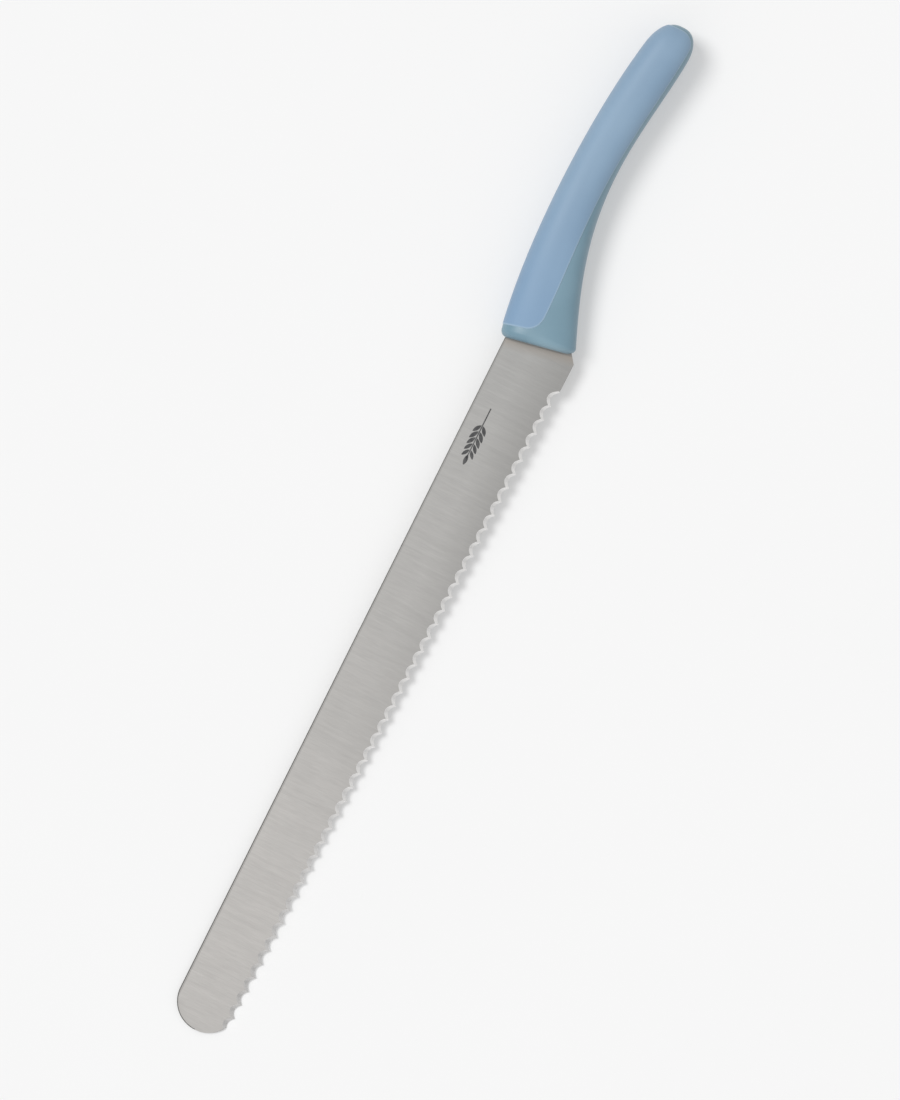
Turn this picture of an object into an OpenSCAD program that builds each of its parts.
// Bread knife: a stamped steel blade with a scalloped edge, held by its tang in
// a hard plastic core that carries a soft rubber grip. Millimetres, Z up.
// The knife lies on its side: X runs from the butt to the tip, the cutting edge
// faces +Y and the bevelled side of the blade faces up.

/* [Blade] */
// Length of the blade in front of the handle
blade_l = 247.1; // [200:0.1:300]
// Width of the blade where it leaves the handle
blade_w = 24; // [21:0.5:28]
// How much narrower the blade is at the tip
blade_taper = 3.4; // [1:0.1:5]
// Thickness of the steel along the spine and in the tang
spine_t = 1.5; // [1.2:0.1:2.2]
// Thickness that the flat grind leaves at the cutting edge
edge_t = 0.75; // [0.5:0.05:1]

/* [Scallops] */
// Distance from one tooth point to the next
scallop_pitch = 5; // [4:0.25:8]
// Depth of the cutting edge between two tooth points
scallop_depth = 1.45; // [0.8:0.05:2]
// Width of the bevel that is ground on the upper side
bevel_w = 1.15; // [0.6:0.05:1.6]
// Plain edge between the heel and the first scallop
heel_plain = 10.5; // [6:0.1:20]

/* [Tang] */
// Length of the tang inside the handle
tang_l = 68; // [50:1:80]
// Width of the tang
tang_w = 6.5; // [5:0.1:7]
// Holes that the core's plastic runs through
tang_hole_d = 3.5; // [2:0.1:4]

/* [Handle] */
// Length of the handle
handle_l = 116.3; // [105:0.1:130]
// Thickness of the handle between the palms of the hand
handle_t = 16.8; // [14:0.2:20]
// Thickness of the soft grip
grip_t = 1.2; // [0.9:0.1:1.5]
// How far the soft grip stands proud of the hard core
grip_proud = 0.2; // [0.1:0.05:0.4]
// Rounding around the front of the collar
collar_round = 2.4; // [1:0.1:3]

/* [Hidden] */
$fn = 64;

// The blade: the edge runs straight from the heel until the round tip takes over.
edge_slope = blade_taper / blade_l;
tip_r = (blade_w - blade_taper) / (1 + sqrt(1 + edge_slope * edge_slope) - edge_slope);
tip_x = blade_l - tip_r;
heel_x = -2.3;
heel_angle = 37.4;
grind_margin = 0.8;
grind_gap = 0.4;
grind_angle = atan((spine_t - edge_t) / 2 / (blade_w - grind_margin));

// A scallop is a cylinder that leans, so that it leaves a bevel on the upper side only.
cutter_lean = atan(bevel_w / edge_t);
cutter_sag = scallop_depth * cos(cutter_lean);
cutter_r = (pow(scallop_pitch / 2, 2) + cutter_sag * cutter_sag) / (2 * cutter_sag);
tooth_inset = 0.2;
first_scallop = heel_x + heel_plain + scallop_pitch / 2;
scallop_count = round((tip_x + tip_r / 2 - heel_x - heel_plain) / scallop_pitch);

// The handle: control heights of its two side curves, from the collar to the butt.
spine_curve = blade_w / 24 * [-2, -7.7, -6.9, -6.9, -0.1];
belly_curve = blade_w / 24 * [23.5, 11.6, 0.7, 14.6, 13.5];
thickness_curve = handle_t / 2 * [0.88, 1.03, 1.02, 1, 0.92];
collar_lean = 0.21 * blade_w;
belly_corner = 0.35;
butt_l = 11;
butt_power = 2.6;
squareness = 2.6;

// The soft grip: how far its edge stays from the belly, from the collar to the butt.
grip_margin = blade_w / 24 * [12, -2, 1.8, 1.3];
grip_front_r = 6;
grip_front_x = -11.4;
grip_back_r = 5;
grip_back_x = 1.4 + grip_back_r - handle_l;
strip_t = 0.5 * handle_t;

// The origin: under the middle of the knife, on the surface that it lies on.
lowest_y = min([for (t = [0:0.05:1]) bezier(spine_curve, t)]);
middle = [(blade_l - handle_l) / 2, (edge_y(heel_x) + lowest_y) / 2, -handle_t / 2];

// Height of the plain cutting edge at a distance in front of the handle
function edge_y(x) = blade_w - edge_slope * x;

// Front face of the collar at a height across the handle
function collar_x(y) = -collar_lean * (y - spine_curve[0]) / (belly_curve[0] - spine_curve[0]);

// A Bezier curve of any number of control values
function bezier(controls, t) =
    len(controls) == 1
    ? controls[0]
    : bezier([for (i = [1:len(controls) - 1]) controls[i - 1] * (1 - t) + controls[i] * t], t);

function arc(centre, r, from, to, steps = 8) =
    [for (i = [0:steps]) let (a = from + (to - from) * i / steps) centre + r * [cos(a), sin(a)]];

// Point of a superellipse with half axes of 1
function superellipse(a) =
    [sign(cos(a)) * pow(abs(cos(a)), 2 / squareness), sign(sin(a)) * pow(abs(sin(a)), 2 / squareness)];

// How much the rounding at the front takes off, at a distance behind the front
function front_drop(s) =
    s >= collar_round ? 0 : collar_round - sqrt(collar_round ^ 2 - (collar_round - s) ^ 2);

// Share of its full size that the handle has left near the butt
function butt_share(s) =
    let (q = max(0, (s - handle_l + butt_l) / butt_l)) pow(max(0, 1 - pow(q, butt_power)), 1 / butt_power);

// Outline of the handle across its length, shrunk by an inset all round. The front is rounded most at the belly.
function handle_ring(s, inset) =
    let (
        t = s / handle_l,
        spine = [-s, bezier(spine_curve, t)],
        belly = [-s - collar_lean * (1 - t), bezier(belly_curve, t)],
        across = (belly - spine) / norm(belly - spine),
        share = butt_share(s + inset),
        half_w = (norm(belly - spine) / 2 - inset) * share - front_drop(s) * (1 + belly_corner),
        centre = (spine + belly) / 2 - across * front_drop(s) * belly_corner,
        half_t = (bezier(thickness_curve, t) - inset) * share - front_drop(s)
    )
    [for (a = [0:10:350]) let (p = superellipse(a))
        concat(centre + across * half_w * p.x, half_t * p.y)];

// Places of the rings: close together over the front rounding and the butt
function ring_places(inset) =
    let (body_end = handle_l - butt_l - inset, steps = 18)
    concat(
        [for (a = [0:18:72]) collar_round * (1 - cos(a))],
        [for (i = [0:steps]) collar_round + (body_end - collar_round) * i / steps],
        [for (a = [15:15:75]) body_end + butt_l * sin(a)],
        [body_end + butt_l * sin(86)]
    );

// Point of the grip's edge over the flat of the handle
function grip_edge(t) =
    let (
        x = grip_front_x + (grip_back_x - grip_front_x) * t,
        belly_y = bezier(belly_curve, (-x - collar_lean) / (handle_l - collar_lean))
    )
    [x, belly_y - bezier(grip_margin, t)];

module handle_form(inset) {
    rings = [for (s = ring_places(inset)) handle_ring(s, inset)];
    n = len(rings[0]);
    last = len(rings) - 1;
    polyhedron(
        points = [for (ring = rings) each ring],
        faces = concat(
            [[for (i = [n - 1:-1:0]) i]],
            [for (r = [0:last - 1], i = [0:n - 1])
                [r * n + i, r * n + (i + 1) % n, (r + 1) * n + (i + 1) % n, (r + 1) * n + i]],
            [[for (i = [0:n - 1]) last * n + i]]
        )
    );
}

module blade_outline() {
    heel_end = heel_x - (edge_y(heel_x) - tang_w) / tan(heel_angle);
    polygon([
        [tip_x, 0],
        [tip_x, edge_y(tip_x)],
        [heel_x, edge_y(heel_x)],
        [heel_end, tang_w],
        [tang_w / 2 - tang_l, tang_w],
        [tang_w / 2 - tang_l, 0]
    ]);
    translate([tip_x, tip_r]) circle(tip_r);
    translate([tang_w / 2 - tang_l, tang_w / 2]) circle(tang_w / 2);
}

// The blank as it is stamped, before it is ground
module blade_blank() {
    linear_extrude(spine_t, center = true)
        difference() {
            blade_outline();
            for (x = [-0.45, -0.85]) translate([x * tang_l, tang_w / 2]) circle(d = tang_hole_d);
        }
}

// What the flat grind takes off the upper side, from the collar to the tip
module flat_grind() {
    far_y = blade_w + 1;
    translate([grind_gap, grind_margin, spine_t / 2])
        rotate([-grind_angle, 0, 0])
            linear_extrude(spine_t)
                polygon([
                    [collar_x(grind_margin), 0],
                    [blade_l, 0],
                    [blade_l, far_y - grind_margin],
                    [collar_x(far_y), far_y - grind_margin]
                ]);
}

module scallop(x) {
    translate([x, edge_y(x) - tooth_inset - scallop_depth + cutter_r / cos(cutter_lean), -edge_t / 2])
        rotate([cutter_lean, 0, 0])
            cylinder(h = 12 * cutter_r, r = cutter_r, center = true);
}

module blade() {
    color("silver")
        difference() {
            blade_blank();
            flat_grind();
            mirror([0, 0, 1]) flat_grind();
            for (i = [0:scallop_count - 1]) scallop(first_scallop + i * scallop_pitch);
        }
}

// Everything on the spine side of the grip's edge, apart from the core's strip round the belly
module grip_region() {
    edge = [for (t = [0:0.05:1]) grip_edge(t)];
    lean = 14;
    front = arc(edge[0] - [0, grip_front_r], grip_front_r, lean, 90);
    back_centre = edge[len(edge) - 1] - [0, grip_back_r];
    back = arc(back_centre, grip_back_r, 90, 180);
    far_y = front[0].y - blade_w;
    gap = 1.5 * grip_t;
    difference() {
        linear_extrude(2 * handle_t, center = true)
            polygon(concat(
                [[front[0].x + blade_w * tan(lean), far_y]],
                front,
                edge,
                back,
                [[back[len(back) - 1].x, far_y]]
            ));
        linear_extrude(strip_t, center = true)
            polygon(concat(
                [for (p = edge) p - [0, gap]],
                arc(back_centre, grip_back_r - gap, 90, 180),
                [[-handle_l, back_centre.y], [-handle_l, blade_w], [edge[0].x, blade_w]]
            ));
    }
}

module handle_core() {
    color([0.50, 0.62, 0.68])
        difference() {
            handle_form(grip_proud);
            difference() {
                grip_region();
                handle_form(grip_t);
            }
            blade_blank();
        }
}

module soft_grip() {
    color([0.57, 0.67, 0.77])
        difference() {
            intersection() {
                handle_form(0);
                grip_region();
            }
            handle_form(grip_t);
        }
}

// Moves a piece from the handle's front to the knife's origin
module placed() {
    translate(-middle) children();
}

placed() blade();
placed() handle_core();
placed() soft_grip();
